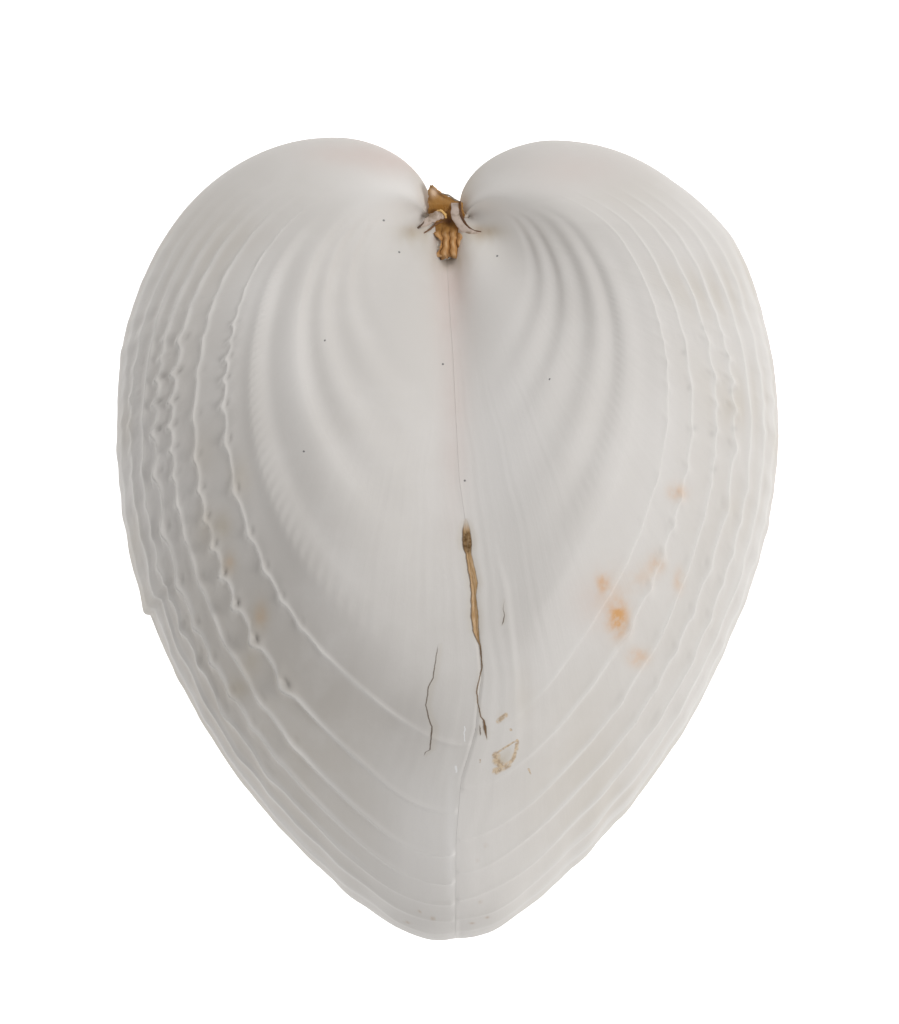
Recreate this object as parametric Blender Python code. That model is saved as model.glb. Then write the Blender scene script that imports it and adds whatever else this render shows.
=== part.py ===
"""Heart cockle: two hollow valves closed on each other, with the dried ligament between their beaks.

Each valve is one horn. Its section is the closed loop of the valve's lip, and the loop shrinks as it
turns back about the hinge axis, which runs through the beak, square to the heart-shaped face.
+Z is the face that shows both valves, +Y is the beak end, and the shell lies on its domed back.
"""

import bmesh
import bpy
import numpy as np

MM = 0.001

# Where the shell stands: the origin is under the middle of its box, on the surface that it lies on.
SEAM_X = 0.35 * MM
HINGE_Y = 20.04 * MM
KEEL_Z = 12.9 * MM

# The lip of a valve, measured from the hinge axis.
GROWN_RADIUS = 44.8 * MM
HINGE_SHARE = 0.057
AXIS_SLIT = 0.12 * MM
FRONT_DEPTH = 14.0 * MM
FRONT_SHOULDER = 0.66
FRONT_HINGE_DEPTH = 1.1 * MM
BACK_DEPTH = 12.59 * MM
BACK_SHOULDER = 0.435
BACK_FLATNESS = 0.25
BACK_HINGE_ANGLE = np.radians(78)
HINGE_FALLOFF = 6
HINGE_POINTS = 3
LIP_GAP = 0.32 * MM
WALL = 1.3 * MM

# Growth: each turn back from the lip makes the section smaller, and faster near the beak. The pulses
# are (turn, factor): seasons when the shell grew a little wider or narrower.
LEFT = dict(
    side=-1,
    rate=0.710,
    lip_swell=0.044,
    lip_turn=0.050,
    curl=0.379,
    curl_start=1.55,
    beak_offset=1.25 * MM,
    pulses=(
        (0, 1), (0.08, 1.008), (0.3, 1.006), (0.48, 0.998), (0.6, 0.988), (0.64, 1.011), (0.72, 0.996),
        (1.0, 0.999), (1.2, 1.016), (1.45, 1.017), (1.8, 1.002), (2.2, 0.992), (2.4, 1),
    ),
    crests=(0.985, 0.965, 0.940, 0.910, 0.870, 0.810, 0.720, 0.635, 0.490, 0.395, 0.305, 0.230),
)
RIGHT = dict(
    side=1,
    rate=0.702,
    lip_swell=0.029,
    lip_turn=0.037,
    curl=0.256,
    curl_start=1.319,
    beak_offset=1.10 * MM,
    pulses=(
        (0, 1), (0.12, 1.006), (0.3, 1.0), (0.55, 0.98), (0.9, 0.985), (1.25, 0.987), (1.5, 1.008),
        (1.75, 0.978), (2.2, 0.98), (2.4, 1),
    ),
    crests=(0.985, 0.965, 0.935, 0.895, 0.850, 0.780, 0.706, 0.565, 0.426, 0.318, 0.250, 0.190),
)
INNER_LAG = 0.20
LAG_SPREAD = 4.4
LAG_TURN = 1.8
FLAT_FACE_TURN = 0.50
FLAT_BACK_TURN = 0.70
FLAT_FACE_SHARES = (0.60, 0.85)
BEAK_TURN = 0.35

# Ribs: thin cords outside the shoulder, broad folds inside it, cords again on the back.
CORD_RIBS = 7
CORD_HEIGHT = 0.34 * MM
FOLD_HEIGHT = 0.30 * MM
FOLD_TURN = 0.30
BACK_RIBS = 13
FRONT_STEPS = 4
BACK_STEPS = 3
SHARP_ANGLE = np.radians(60)

# The seam between the valves wanders to one side: (y, shift) from the hinge to the tip.
SEAM_LINE = (
    (20.0 * MM, -0.3 * MM),
    (8.0 * MM, 0.2 * MM),
    (1.0 * MM, 0.7 * MM),
    (-4.0 * MM, 1.2 * MM),
    (-9.5 * MM, 1.6 * MM),
    (-14.5 * MM, 0.3 * MM),
    (-25.0 * MM, 0.2 * MM),
)
SEAM_BEND_WIDTH = 4.0 * MM

# Mesh density.
OUTER_ROWS = 22
LAST_TURN = np.radians(205)
INNER_ROWS = 7
INNER_LAST_TURN = np.radians(112)
INNER_COLUMNS = 30
ROW_CROWDING = 1.6

# The ligament: a cracked, horny lump in the cleft between the beaks.
LIGAMENT_CENTRE = (0.05 * MM, 19.9 * MM, 12.7 * MM)
LIGAMENT_HALF = (0.72 * MM, 1.95 * MM, 1.5 * MM)
LIGAMENT_LUMPS = 0.14
LIGAMENT_FINENESS = 3


def bell(value, width):
    return np.exp(-((value / width) ** 2))


def growth(valve, turn):
    """Size of the section at a turn back from the lip, as a share of the grown size."""
    swell = valve["lip_swell"] * (1 - np.exp(-turn / valve["lip_turn"]))
    curl = valve["curl"] * np.maximum(0, turn - valve["curl_start"]) ** 2
    turns, factors = zip(*valve["pulses"])
    return np.interp(turn, turns, factors) * np.exp(swell - valve["rate"] * turn - curl)


def front_profile(crests):
    """(share of the radius, depth, cords, folds) of the lip's front half, from the hinge to the tip."""
    stations = np.array((HINGE_SHARE,) + crests[::-1] + (1.0,))
    count = len(stations) - 1
    rib = np.arange(count * FRONT_STEPS) / FRONT_STEPS
    share = np.interp(rib, np.arange(count + 1), stations)
    inside = np.clip((share - HINGE_SHARE) / (FRONT_SHOULDER - HINGE_SHARE), 0, 1)
    outside = np.clip((share - FRONT_SHOULDER) / (1 - FRONT_SHOULDER), 0, 1)
    slope = FRONT_HINGE_DEPTH + (FRONT_DEPTH - FRONT_HINGE_DEPTH) * np.sin(inside * np.pi / 2)
    depth = slope * np.sqrt(1 - outside**2)
    ends = (rib < 0.5) | (rib > count - 0.5)
    crest = np.where(ends, 0, np.cos(2 * np.pi * rib))
    is_cord = count - rib <= CORD_RIBS + 0.5
    cords = CORD_HEIGHT * np.where(is_cord, np.maximum(0, crest), 0)
    folds = FOLD_HEIGHT * np.where(is_cord | ends, 0, 0.5 + 0.5 * crest)
    return share, depth, cords, folds


def back_profile():
    """(share, depth, cords, folds) of the lip's back half, from the tip to the hinge.

    Two quarter ellipses meet at the shoulder. They are flattened there, so that the shell lies steady.
    """
    rib = np.arange(BACK_RIBS * BACK_STEPS + 1) / BACK_STEPS
    sweep = np.pi * rib / BACK_RIBS
    outer = sweep <= np.pi / 2
    inner_angle = (sweep - np.pi / 2) * BACK_HINGE_ANGLE / (np.pi / 2)
    outer_share = BACK_SHOULDER + (1 - BACK_SHOULDER) * np.cos(sweep)
    inner_reach = (BACK_SHOULDER - HINGE_SHARE) / np.sin(BACK_HINGE_ANGLE)
    share = np.where(outer, outer_share, BACK_SHOULDER - inner_reach * np.sin(inner_angle))
    drop = np.where(outer, np.sin(sweep), np.cos(inner_angle))
    depth = -BACK_DEPTH * drop * (1 + BACK_FLATNESS * (1 - drop**2))
    ends = (rib < 0.5) | (rib > BACK_RIBS - 0.5)
    cords = CORD_HEIGHT * np.where(ends, 0, np.maximum(0, np.cos(2 * np.pi * rib)))
    return share, depth, cords, np.zeros_like(rib)


def lip_loop(valve):
    """The closed loop of the lip, by the front, the tip, the back and the hinge, as in front_profile."""
    front = front_profile(valve["crests"])
    back = back_profile()
    hinge_depths = np.linspace(back[1][-1], FRONT_HINGE_DEPTH, HINGE_POINTS + 2)[1:-1]
    smooth = np.zeros(HINGE_POINTS)
    hinge = (np.full(HINGE_POINTS, HINGE_SHARE), hinge_depths, smooth, smooth)
    return [np.concatenate(parts) for parts in zip(front, back, hinge)]


def near_hinge(share):
    """1 at the hinge end of the lip and 0 at its tip. Most of the loop is close to 0."""
    return ((1 - share) / (1 - HINGE_SHARE)) ** HINGE_FALLOFF


def section(valve, share, depth, turn):
    """(radius, depth) of the lip loop carried back by a turn. Its hinge end closes on the axis."""
    size = growth(valve, turn)
    closing = HINGE_SHARE * (1 - bell(turn, BEAK_TURN))
    inner = np.maximum(0, share - closing * near_hinge(share))
    lag = INNER_LAG * (1 - inner**LAG_SPREAD) * turn**LAG_TURN
    radius = AXIS_SLIT + GROWN_RADIUS * inner * size * np.exp(-lag)
    low, high = FLAT_FACE_SHARES
    face = bell(turn, FLAT_FACE_TURN) * np.clip((high - share) / (high - low), 0, 1)
    flat = np.where(depth > 0, face, bell(turn, FLAT_BACK_TURN))
    return radius, depth * size ** (1 - flat)


def inward(radius, depth, distance):
    """The loop moved inwards by a distance, square to itself."""
    along = np.stack([np.roll(radius, -1) - np.roll(radius, 1), np.roll(depth, -1) - np.roll(depth, 1)])
    along /= np.linalg.norm(along, axis=0)
    return radius + distance * along[1], depth - distance * along[0]


def place(valve, share, radius, depth, turn):
    """World points of a section: turned about the hinge axis and shifted with the wandering seam."""
    beak = valve["beak_offset"] * (1 - bell(turn, BEAK_TURN * (1 + near_hinge(share))))
    x = valve["side"] * (LIP_GAP / 2 + radius * np.sin(turn) + beak)
    y = HINGE_Y - radius * np.cos(turn)
    seam_y, seam_shift = zip(*SEAM_LINE[::-1])
    x += np.interp(y, seam_y, seam_shift) * np.exp(-((x / SEAM_BEND_WIDTH) ** 2) / 2)
    return np.stack([SEAM_X + x, y, KEEL_Z + depth], axis=1)


def ring_of(mesh, points):
    return [mesh.verts.new(point) for point in points]


def skin(mesh, first, second):
    """Quads between two rings of the same number of points."""
    for i in range(len(first)):
        j = (i + 1) % len(first)
        mesh.faces.new((first[i], first[j], second[j], second[i]))


def edges_of(mesh, ring):
    """The edges round a ring, made where they are missing."""
    found = []
    for start, end in zip(ring, ring[1:] + ring[:1]):
        found.append(mesh.edges.get((start, end)) or mesh.edges.new((start, end)))
    return found


def outer_rings(mesh, valve):
    """The ribbed outside, from the lip to the beak. The folds grow out of a smooth lip."""
    share, depth, cords, folds = lip_loop(valve)
    rings = []
    for row in range(OUTER_ROWS + 1):
        turn = LAST_TURN * (row / OUTER_ROWS) ** ROW_CROWDING
        relief = (cords + folds * (1 - bell(turn, FOLD_TURN))) * growth(valve, turn)
        radius, level = section(valve, share, depth, turn)
        radius, level = inward(radius, level, -relief)
        rings.append(ring_of(mesh, place(valve, share, radius, level, turn)))
    return rings


def inner_rings(mesh, valve):
    """The cavity's rings: the smooth loop, thinned out, a wall's thickness inside the outer one."""
    share, depth, _, _ = lip_loop(valve)
    keep = np.linspace(0, len(share), INNER_COLUMNS, endpoint=False).astype(int)
    share, depth = share[keep], depth[keep]
    rings = []
    for row in range(INNER_ROWS + 1):
        turn = INNER_LAST_TURN * (row / INNER_ROWS) ** ROW_CROWDING
        radius, level = section(valve, share, depth, turn)
        radius, level = inward(radius, level, WALL)
        rings.append(ring_of(mesh, place(valve, share, radius, level, turn)))
    return rings


def build_valve(name, valve, material):
    mesh = bmesh.new()
    outer = outer_rings(mesh, valve)
    inner = inner_rings(mesh, valve)
    for rings in (outer, inner):
        for first, second in zip(rings, rings[1:]):
            skin(mesh, first, second)
        mesh.faces.new(rings[-1])
    rim = edges_of(mesh, outer[0]) + edges_of(mesh, inner[0])
    bmesh.ops.triangle_fill(mesh, edges=rim, use_beauty=True)
    bmesh.ops.recalc_face_normals(mesh, faces=mesh.faces)
    return finish(name, mesh, material)


def build_ligament(material):
    """A ball drawn out along the cleft, cut into lumps by waves that run along and across it."""
    mesh = bmesh.new()
    bmesh.ops.create_icosphere(mesh, subdivisions=LIGAMENT_FINENESS, radius=1)
    for vert in mesh.verts:
        x, y, z = vert.co
        wave = np.sin(9 * x + 2 * y) * np.cos(7 * y - 3 * z) + 0.6 * np.sin(11 * z + 5 * y)
        swell = 1 + LIGAMENT_LUMPS * wave / 1.6
        vert.co = [c + h * v * swell for c, h, v in zip(LIGAMENT_CENTRE, LIGAMENT_HALF, (x, y, z))]
    return finish("ligament", mesh, material)


def finish(name, mesh, material):
    data = bpy.data.meshes.new(name)
    mesh.to_mesh(data)
    mesh.free()
    data.shade_smooth()
    data.set_sharp_from_angle(angle=SHARP_ANGLE)
    data.materials.append(material)
    thing = bpy.data.objects.new(name, data)
    bpy.context.scene.collection.objects.link(thing)
    return thing


def make_material(name, colour, roughness):
    material = bpy.data.materials.new(name)
    material.use_nodes = True
    shader = material.node_tree.nodes["Principled BSDF"]
    shader.inputs["Base Color"].default_value = (*colour, 1)
    shader.inputs["Roughness"].default_value = roughness
    shader.inputs["Metallic"].default_value = 0
    return material


def main():
    for thing in list(bpy.data.objects):
        bpy.data.objects.remove(thing)
    build_valve("left_valve", LEFT, make_material("left_shell", (0.74, 0.70, 0.66), 0.45))
    build_valve("right_valve", RIGHT, make_material("right_shell", (0.76, 0.73, 0.69), 0.45))
    build_ligament(make_material("horn", (0.34, 0.17, 0.05), 0.55))


main()
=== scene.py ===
"""A closed heart cockle: two white ribbed valves and the dried brown ligament between their beaks.

Each valve is a horn. Its lip is a closed loop in a half plane through the hinge axis, and the loop
turns back about that axis and shrinks as it goes, which is how the shell grew. Lengths here are in
millimetres, and the meshes are written in metres.
"""

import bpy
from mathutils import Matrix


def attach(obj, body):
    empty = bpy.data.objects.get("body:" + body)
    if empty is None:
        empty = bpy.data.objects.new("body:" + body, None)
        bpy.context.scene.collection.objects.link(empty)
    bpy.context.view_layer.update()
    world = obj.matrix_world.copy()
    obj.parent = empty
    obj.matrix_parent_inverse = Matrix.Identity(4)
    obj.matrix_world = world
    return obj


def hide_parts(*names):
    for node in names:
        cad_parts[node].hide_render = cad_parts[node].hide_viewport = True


bl_info = {
    "name": "Heart Cockle",
    "version": (1, 0, 0),
    "blender": (4, 5, 0),
    "location": "View3D > Sidebar > Cockle",
    "description": "Builds a closed heart cockle shell with its ribs, nodules, stains and ligament",
    "category": "Object",
}

import bpy
import numpy as np
from mathutils import Vector

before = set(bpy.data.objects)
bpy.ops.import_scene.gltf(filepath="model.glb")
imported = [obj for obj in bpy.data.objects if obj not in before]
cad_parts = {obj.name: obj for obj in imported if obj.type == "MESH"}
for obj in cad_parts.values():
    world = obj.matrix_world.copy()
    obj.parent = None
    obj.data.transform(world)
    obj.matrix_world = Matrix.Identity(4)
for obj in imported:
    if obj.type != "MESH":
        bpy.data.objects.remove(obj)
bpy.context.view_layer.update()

MM = 0.001

# The frame that the valves grow in.
SEAM_X = 0.35
HINGE_Y = 20.04
KEEL_Z = 12.9

# The lip of a valve, measured from the hinge axis.
HINGE_SHARE = 0.057
AXIS_SLIT = 0.12
FRONT_DEPTH = 14.0
FRONT_SHOULDER = 0.66
FRONT_HINGE_DEPTH = 1.1
BACK_DEPTH = 12.59
BACK_SHOULDER = 0.435
BACK_FLATNESS = 0.25
BACK_HINGE_ANGLE = np.radians(78)
HINGE_FALLOFF = 6
INNER_LAG = 0.20
LAG_SPREAD = 4.4
LAG_TURN = 1.8
FLAT_FACE_TURN = 0.50
FLAT_BACK_TURN = 0.70
FLAT_FACE_SHARES = (0.60, 0.85)
BEAK_TURN = 0.35
SEAM_LEVEL = 0.036
SEAM_LEVEL_TURN = 0.045
LAST_TURN = np.radians(205)
BACK_RIBS = 13
CORD_RIBS = 7

# Growth of the two valves. The pulses are (turn, factor): seasons when the shell grew wider or narrower.
# The crests are the ribs' shares of the radius, from the tip to the hinge: cords, then broad folds.
LEFT = dict(
    side=-1,
    rate=0.710,
    lip_swell=0.044,
    lip_turn=0.050,
    curl=0.379,
    curl_start=1.55,
    beak_offset=1.25,
    pulses=(
        (0, 1), (0.08, 1.008), (0.3, 1.006), (0.48, 0.998), (0.7, 0.996), (1.0, 0.999), (1.2, 1.016),
        (1.45, 1.017), (1.8, 1.002), (2.2, 0.992), (2.4, 1),
    ),
    crests=(0.985, 0.965, 0.940, 0.910, 0.870, 0.810, 0.720, 0.635, 0.490, 0.395, 0.305, 0.230),
    cord_heights=(0.0, 0.10, 0.16, 0.20, 0.22, 0.22, 0.19, 0.14, 0.0),
    knob_heights=(0.0, 0.07, 0.12, 0.16, 0.26, 0.40, 0.44, 0.26, 0.0),
    knob_pitch=0.074,
    fold_heights=(0.0, 0.0, 0.0, 0.0, 0.0, 0.0, 0.0, 0.0, 0.24, 0.38, 0.30, 0.22, 0.10, 0.0),
    groove=(8.29, 0.26, 0.36),
    notch_height=0.42,
    band_height=0.04,
    seed=11,
)
RIGHT = dict(
    side=1,
    rate=0.702,
    lip_swell=0.029,
    lip_turn=0.037,
    curl=0.256,
    curl_start=1.319,
    beak_offset=1.10,
    pulses=(
        (0, 1), (0.12, 1.006), (0.3, 1.0), (0.55, 0.98), (0.9, 0.985), (1.25, 0.987), (1.5, 1.008),
        (1.75, 0.978), (2.2, 0.98), (2.4, 1),
    ),
    crests=(0.985, 0.965, 0.935, 0.895, 0.850, 0.780, 0.706, 0.570, 0.465, 0.360, 0.285, 0.220),
    cord_heights=(0.0, 0.08, 0.12, 0.14, 0.14, 0.12, 0.10, 0.08, 0.0),
    knob_heights=(0.0, 0.08, 0.08, 0.09, 0.16, 0.20, 0.16, 0.06, 0.0),
    knob_pitch=0.084,
    fold_heights=(0.0, 0.0, 0.0, 0.0, 0.0, 0.0, 0.0, 0.08, 0.22, 0.30, 0.26, 0.20, 0.10, 0.0),
    groove=(8.5, 0.22, 0.08),
    notch_height=0.0,
    band_height=0.09,
    seed=23,
)

# The seam's shift to the right at heights down the face, and half the width of the open crack.
SEAM_LINE = (
    (20.0, -0.30), (17.5, -0.32), (14.9, -0.19), (11.2, 0.06), (7.4, 0.24), (3.7, 0.43), (1.2, 0.80),
    (-1.3, 1.03), (-2.8, 1.30), (-3.8, 1.34), (-5.0, 1.42), (-6.9, 1.66), (-8.3, 1.76), (-9.9, 1.55),
    (-11.4, 1.42), (-12.8, 1.05), (-14.4, 0.55), (-18.1, 0.24), (-25.0, 0.20),
)
SEAM_BEND_WIDTH = 4.0
CRACK_COURSE = (
    (1.31, 1.17), (1.1, 1.19), (0.55, 1.22), (-0.04, 1.25), (-0.62, 1.29), (-0.82, 1.34),
    (-2.62, 1.68), (-3.33, 1.64), (-4.63, 1.71), (-5.56, 1.79), (-5.95, 1.88), (-6.34, 2.03),
    (-7.15, 2.13), (-7.75, 2.13), (-8.37, 1.98), (-9.14, 1.83), (-9.82, 1.9), (-10.69, 2.08),
    (-10.88, 2.25), (-11.37, 2.33), (-12.14, 2.46),
)
CRACK_WIDTHS = (
    (1.31, 0.0), (1.1, 0.1), (0.55, 0.23), (-0.04, 0.28), (-0.53, 0.25), (-0.82, 0.16),
    (-1.3, 0.2), (-2.62, 0.23), (-3.33, 0.14), (-4.63, 0.22), (-5.56, 0.17), (-5.95, 0.1),
    (-6.34, 0.05), (-7.15, 0.035), (-7.75, 0.04), (-8.37, 0.03), (-9.14, 0.04), (-9.82, 0.03),
    (-10.69, 0.035), (-10.88, 0.05), (-11.37, 0.08), (-11.85, 0.03), (-12.14, 0.0),
)
LIP_GAP = 0.004
GROWN_GAP = 0.16
NOTCH_TURN = 0.615
LATE_BAND_TURN = 0.086
LATE_BAND_SHARES = (0.50, 0.76)

# How far back from the lip, in turns, the ribs and the fine lines rise and fade away.
CORD_RISE = (0.08, 0.40)
CORD_FADE = (1.15, 1.9)
KNOB_RISE = (0.20, 0.34)
KNOB_FADE = (0.95, 1.30)
FOLD_RISE = (0.06, 0.52)
FOLD_FADE = (0.95, 1.75)
LINE_FADE = (1.1, 1.9)
LINE_SHARES = (0.12, 0.5)
ROUGH_FADE = (1.0, 1.6)
KEEL_SHARES = (0.90, 0.99)
MEETING_TURN = 0.006

# An outer rib's ridge and foot as (height, width), and its knobs and pits as (height, offset, width).
RIDGE = (0.72, 1.0)
RIDGE_FOOT = (0.38, 2.8)
KNOB = (1.2, 0.10, 0.50)
PIT = (0.85, 0.34, 0.20)
KNOB_PUSH = 0.9
KNOB_SHARPNESS = 5
PIT_SHARPNESS = 20

# The inner groove's beads as (height, offset, width, pitch in turns).
BEADS = (0.12, 0.28, 0.13, 0.027)

# The keel's roughness, the seam's wrinkles and notch, the back's ribs and the dip along the crack.
ROUGH_HEIGHT = 0.06
WRINKLE_HEIGHT = 0.008
NOTCH_LENGTH = 0.12
NOTCH_DIP = (0.6, 0.06)
BACK_RIB_HEIGHT = 0.30
TROUGH_DEPTH = 0.06
TROUGH_END = (-7.0, -6.0)

# Mesh density.
CORD_STEPS = 18
FOLD_STEPS = 8
BACK_STEPS = 5
HINGE_POINTS = 5
ROWS = 366
KNOBBY_TURNS = (0.15, 1.25)
INNER_ROWS = 12
INNER_LAST_TURN = np.radians(112)
WALL = 1.3
LIP_INSET = 0.40


def amount(name, description, default, least=0):
    return bpy.props.FloatProperty(name=name, description=description, default=default, min=least)


def colour_of(name, description, default):
    return bpy.props.FloatVectorProperty(
        name=name, description=description, subtype="COLOR", default=default
    )


class CockleShape(bpy.types.PropertyGroup):
    """Sizes that change the whole shell."""

    radius: amount("Radius", "From the hinge axis to the tip of the lip, in millimetres", 44.8, 10)
    cord_width: amount("Cord width", "Half the width of an outer rib, in millimetres", 0.11, 0.02)
    line_height: amount("Growth line height", "Height of the fine growth lines, in millimetres", 0.004)


class CockleColours(bpy.types.PropertyGroup):
    """Colours of the shell and its marks."""

    white: colour_of("White", "The chalky white of the shell", (0.765, 0.730, 0.692))
    # Painted light: a lighter white laid on the middle, the beaks, the seam and the edges to lift their
    # shading.
    bright: colour_of("Bright", "The cleaner white of the middle and the beaks", (0.93, 0.90, 0.87))
    # Painted shade: the grey brown laid on the darker lower left flank, the left edge and the tip.
    shade: colour_of("Shade", "The grey brown of the duller lower left flank", (0.36, 0.325, 0.29))
    # Painted highlight: a lighter cream along the crests of the outer ribs.
    crest_highlight: colour_of("Cord", "The brighter cream along the ribs", (0.86, 0.83, 0.79))
    tan: colour_of("Tan", "The faint tan between the ribs", (0.60, 0.52, 0.40))
    orange: colour_of("Orange", "The orange spots", (0.76, 0.42, 0.18))
    pink: colour_of("Pink", "The faint pink along the seam", (0.74, 0.58, 0.52))
    # Painted shade: the pit colour darkens the pits beside the knobs and the small dents on the right flank.
    pit: colour_of("Pit", "The grey in the pits beside the knobs", (0.34, 0.33, 0.31))
    grime: colour_of("Grime", "The brown stains by the hinge and the tip", (0.42, 0.24, 0.09))


class CockleStage(bpy.types.PropertyGroup):
    """The light round the shell."""

    lamp_power: amount("Lamps", "Scales the power of all the lamps", 1.0)
    floor_glow: amount("Floor glow", "Light that the pale floor gives off", 0.50)
    sky: amount("Sky", "Light from the white surroundings", 0.365)
    backdrop: amount("Backdrop", "How bright the floor and the surroundings look", 1.2)


def smooth_step(low, high, value):
    """0 below low, 1 above high, and an S curve between them."""
    share = np.clip((value - low) / (high - low), 0, 1)
    return share * share * (3 - 2 * share)


def bell(value, width):
    """A Gaussian bump, 1 at 0."""
    return np.exp(-((value / width) ** 2))


def growth(valve, turn):
    """Size of the section at a turn back from the lip: an exponential, with a blunt tip and a curled beak."""
    swell = valve["lip_swell"] * (1 - np.exp(-turn / valve["lip_turn"]))
    curl = valve["curl"] * np.maximum(0, turn - valve["curl_start"]) ** 2
    turns, factors = zip(*valve["pulses"])
    return np.interp(turn, turns, factors) * np.exp(swell - valve["rate"] * turn - curl)


def clustered(steps):
    """Offsets from -0.5 to 0.5 about a rib's crest, closest together at the crest."""
    even = np.linspace(-1, 1, steps, endpoint=False)
    return 0.5 * np.sign(even) * np.abs(even) ** 1.5


def front_columns(valve):
    """Rib number, share of the radius and depth along the lip's front, from the hinge to the tip.

    The depth is a quarter sine out to the shoulder and a quarter ellipse from there to the tip.
    """
    stations = np.array((1.0,) + valve["crests"] + (HINGE_SHARE,))
    last = len(stations) - 1
    cords = (np.arange(CORD_RIBS + 2)[:, None] + clustered(CORD_STEPS)[None, :]).ravel()
    folds = np.arange(CORD_RIBS + 1.5, last, 1 / FOLD_STEPS)
    rib = np.concatenate([cords[cords > 0], folds, [last]])[::-1]
    share = np.interp(rib, np.arange(last + 1), stations)
    inside = np.clip((share - HINGE_SHARE) / (FRONT_SHOULDER - HINGE_SHARE), 0, 1)
    outside = np.clip((share - FRONT_SHOULDER) / (1 - FRONT_SHOULDER), 0, 1)
    slope = FRONT_HINGE_DEPTH + (FRONT_DEPTH - FRONT_HINGE_DEPTH) * np.sin(inside * np.pi / 2)
    return rib, share, slope * np.sqrt(1 - outside**2)


def back_columns():
    """Rib number, share and depth along the lip's back, from the tip to the hinge.

    Two quarter ellipses meet at the shoulder. They are flattened there, so that the shell lies steady.
    """
    rib = np.arange(BACK_RIBS * BACK_STEPS + 1) / BACK_STEPS
    sweep = np.pi * rib / BACK_RIBS
    outer = sweep <= np.pi / 2
    inner_angle = (sweep - np.pi / 2) * BACK_HINGE_ANGLE / (np.pi / 2)
    outer_share = BACK_SHOULDER + (1 - BACK_SHOULDER) * np.cos(sweep)
    inner_reach = (BACK_SHOULDER - HINGE_SHARE) / np.sin(BACK_HINGE_ANGLE)
    share = np.where(outer, outer_share, BACK_SHOULDER - inner_reach * np.sin(inner_angle))
    drop = np.where(outer, np.sin(sweep), np.cos(inner_angle))
    return rib, share, -BACK_DEPTH * drop * (1 + BACK_FLATNESS * (1 - drop**2))


def lip_columns(valve):
    """The lip's whole loop: rib number, share, depth, and 1 on the front, -1 on the back, 0 at the hinge."""
    front = front_columns(valve)
    back = back_columns()
    hinge_depths = np.linspace(back[2][-1], FRONT_HINGE_DEPTH, HINGE_POINTS + 2)[1:-1]
    hinge = (np.zeros(HINGE_POINTS), np.full(HINGE_POINTS, HINGE_SHARE), hinge_depths)
    face = np.concatenate([np.ones(len(front[0])), -np.ones(len(back[0])), np.zeros(HINGE_POINTS)])
    return [np.concatenate(parts) for parts in zip(front, back, hinge)] + [face]


def turn_rows(valve):
    """Turns from the lip to the beak, at even steps along the keel, closer by the lip and on the knobs."""
    fine = np.linspace(0, LAST_TURN, 4000)
    low, high = KNOBBY_TURNS
    knobby = smooth_step(low - 0.1, low + 0.1, fine) * (1 - smooth_step(high - 0.1, high + 0.1, fine))
    speed = growth(valve, fine) * (1 + 0.6 * knobby) + 2.0 * np.exp(-fine / 0.04) + 0.12
    length = np.concatenate([[0], np.cumsum((speed[1:] + speed[:-1]) / 2 * np.diff(fine))])
    return np.interp(np.linspace(0, length[-1], ROWS), length, fine)


def near_hinge(share):
    """1 at the hinge end of the lip and 0 at its tip. Most of the loop is close to 0."""
    return ((1 - share) / (1 - HINGE_SHARE)) ** HINGE_FALLOFF


def section(valve, radius_at_lip, share, depth, turn):
    """(radius, depth) of the lip loop carried back by a turn. Its hinge end closes on the axis."""
    size = growth(valve, turn)
    closing = HINGE_SHARE * (1 - bell(turn, BEAK_TURN))
    inner = np.maximum(0, share - closing * near_hinge(share))
    lag = INNER_LAG * (1 - inner**LAG_SPREAD) * turn**LAG_TURN
    radius = AXIS_SLIT + radius_at_lip * inner * size * np.exp(-lag)
    low, high = FLAT_FACE_SHARES
    face = bell(turn, FLAT_FACE_TURN) * np.clip((high - share) / (high - low), 0, 1)
    flat = np.where(depth > 0, face, bell(turn, FLAT_BACK_TURN))
    level = SEAM_LEVEL * np.exp(-turn / SEAM_LEVEL_TURN) * (1 - flat) * (depth > 0)
    return radius, depth * size ** (1 - flat) * np.exp(level)


def seam_shift(y):
    heights, shifts = zip(*SEAM_LINE[::-1])
    return np.interp(y, heights, shifts)


def crack_half_width(y):
    heights, widths = zip(*CRACK_WIDTHS[::-1])
    return np.interp(y, heights, widths)


def place(valve, share, radius, depth, turn, lip_offset):
    """World points of a section: turned about the hinge axis, then shifted with the wandering seam."""
    beak = valve["beak_offset"] * (1 - bell(turn, BEAK_TURN * (1 + near_hinge(share))))
    x = valve["side"] * (lip_offset + radius * np.sin(turn) + beak)
    y = HINGE_Y - radius * np.cos(turn)
    x = x + seam_shift(y) * np.exp(-((x / SEAM_BEND_WIDTH) ** 2) / 2)
    return np.stack(np.broadcast_arrays(SEAM_X + x, y, KEEL_Z + depth), axis=-1)


def waves(seed, count, low, high, value):
    """A sum of sines with seeded frequencies and phases, about -1 to 1."""
    rng = np.random.default_rng(seed)
    total = np.zeros_like(value)
    for _ in range(count):
        pace = np.exp(rng.uniform(np.log(low), np.log(high)))
        total = total + np.sin(pace * value + rng.uniform(0, 2 * np.pi))
    return total / np.sqrt(count)


def growth_lines(valve, rib, turn):
    """Fine ridges at constant turn. They waver a little across the ribs and are stronger near the lip."""
    wobble = turn + 0.006 * np.sin(1.7 * rib + 5 * turn) + 0.004 * np.sin(4.1 * rib)
    fine = waves(valve["seed"], 14, 60, 320, wobble)
    broad = waves(valve["seed"] + 1, 8, 18, 70, wobble)
    patchy = 0.6 + 0.4 * np.sin(2.3 * rib + 9 * turn)
    return 0.7 * fine + 0.6 * broad * patchy


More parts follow.
